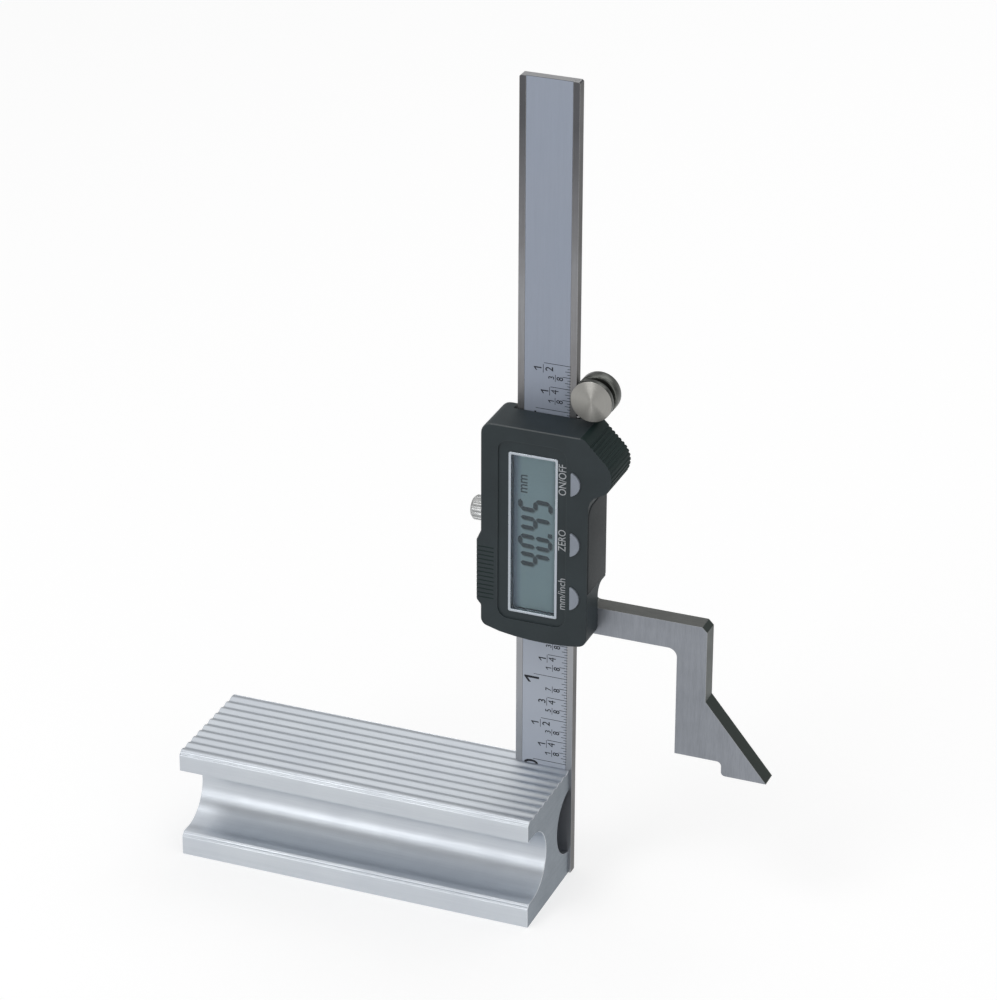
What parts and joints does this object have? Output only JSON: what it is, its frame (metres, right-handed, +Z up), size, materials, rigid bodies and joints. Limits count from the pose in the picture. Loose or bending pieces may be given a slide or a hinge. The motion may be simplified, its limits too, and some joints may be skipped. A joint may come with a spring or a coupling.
{
  "type": "digital height gauge",
  "caption": "Small electronic height gauge: ribbed aluminium base block, upright steel beam with an inch scale, and a slider with display, thumb roller, lock screw and measuring arm.",
  "frame": {"origin": "centre of the base block's underside", "axes": "+Z up along the beam; +X along the base towards the measuring arm; -Y is the front, where the display faces"},
  "size_m": [0.1537, 0.0342, 0.2225],
  "materials": {
    "anodised_base": "matt clear anodised",
    "beam_steel": "ground lengthwise",
    "scale_face": "printed satin strip",
    "screw_steel": "plain",
    "dark_screw": "blackened",
    "frame_steel": "ground",
    "plate_steel": "brushed",
    "gib_bronze": "plain",
    "spring_steel": "bright",
    "housing_plastic": "moulded satin",
    "lid_plastic": "moulded satin",
    "trim_silver": "silver lacquer",
    "window_clear": "clear polished",
    "lcd_grey": "grey-green display glass",
    "zebra_rubber": "plain",
    "board_green": "solder mask",
    "sensor_copper": "varnished",
    "switch_black": "plain",
    "cell_steel": "nickel plated",
    "contact_gold": "plated",
    "button_grey": "moulded satin",
    "axle_steel": "turned",
    "roller_steel": "turned",
    "knob_steel": "bright knurled"
  },
  "bodies": {
    "stand": {"base_block": "anodised_base", "beam": "beam_steel", "scale_strip": "scale_face", "beam_screws": "screw_steel", "end_stop_screw": "screw_steel"},
    "slider": {"slider_frame": "frame_steel", "back_plate": "plate_steel", "back_plate_screws": "screw_steel", "gib_strip": "gib_bronze", "gib_screws": "dark_screw", "wear_strip": "spring_steel", "front_housing": "housing_plastic", "housing_screws": "screw_steel", "lcd_trim": "trim_silver", "lcd_window": "window_clear", "lcd_spacer": "switch_black", "lcd_panel": "lcd_grey", "zebra_strip": "zebra_rubber", "circuit_board": "board_green", "sensor_pad": "sensor_copper", "button_switches": "switch_black", "battery": "cell_steel", "battery_contacts": "contact_gold", "roller_axle": "axle_steel", "lock_pad": "gib_bronze"},
    "roller": {"thumb_roller": "roller_steel"},
    "lock": {"lock_screw": "knob_steel"},
    "key_on_off": {"button_on_off": "button_grey"},
    "key_zero": {"button_zero": "button_grey"},
    "key_units": {"button_units": "button_grey"},
    "lid": {"battery_lid": "lid_plastic"}
  },
  "joints": [
    {"name": "slider_slide", "type": "slide", "parent": "stand", "child": "slider", "axis": [0, 0, 1], "range_m": [-0.04045, 0.07385]},
    {"name": "roller_spin", "type": "hinge", "parent": "slider", "child": "roller", "pos_m": [0.0558, 0.012, 0.1407], "axis": [0, 1, 0], "range_deg": [-770, 422]},
    {"name": "lock_turn", "type": "hinge", "parent": "slider", "child": "lock", "pos_m": [0.0243, 0.0133, 0.10315], "axis": [1, 0, 0], "range_deg": [-270, 90]},
    {"name": "key_on_off_press", "type": "slide", "parent": "slider", "child": "key_on_off", "axis": [0, 1, 0], "range_m": [0, 0.0005], "stiffness_N_per_m": 800, "springref_m": -0.0005},
    {"name": "key_zero_press", "type": "slide", "parent": "slider", "child": "key_zero", "axis": [0, 1, 0], "range_m": [0, 0.0005], "stiffness_N_per_m": 800, "springref_m": -0.0005},
    {"name": "key_units_press", "type": "slide", "parent": "slider", "child": "key_units", "axis": [0, 1, 0], "range_m": [0, 0.0005], "stiffness_N_per_m": 800, "springref_m": -0.0005},
    {"name": "lid_slide", "type": "slide", "parent": "slider", "child": "lid", "axis": [1, 0, 0], "range_m": [0, 0.01]}
  ],
  "couplings": [
    {"joint": "roller_spin", "follows": "slider_slide", "rad_per_m": -181.82}
  ]
}
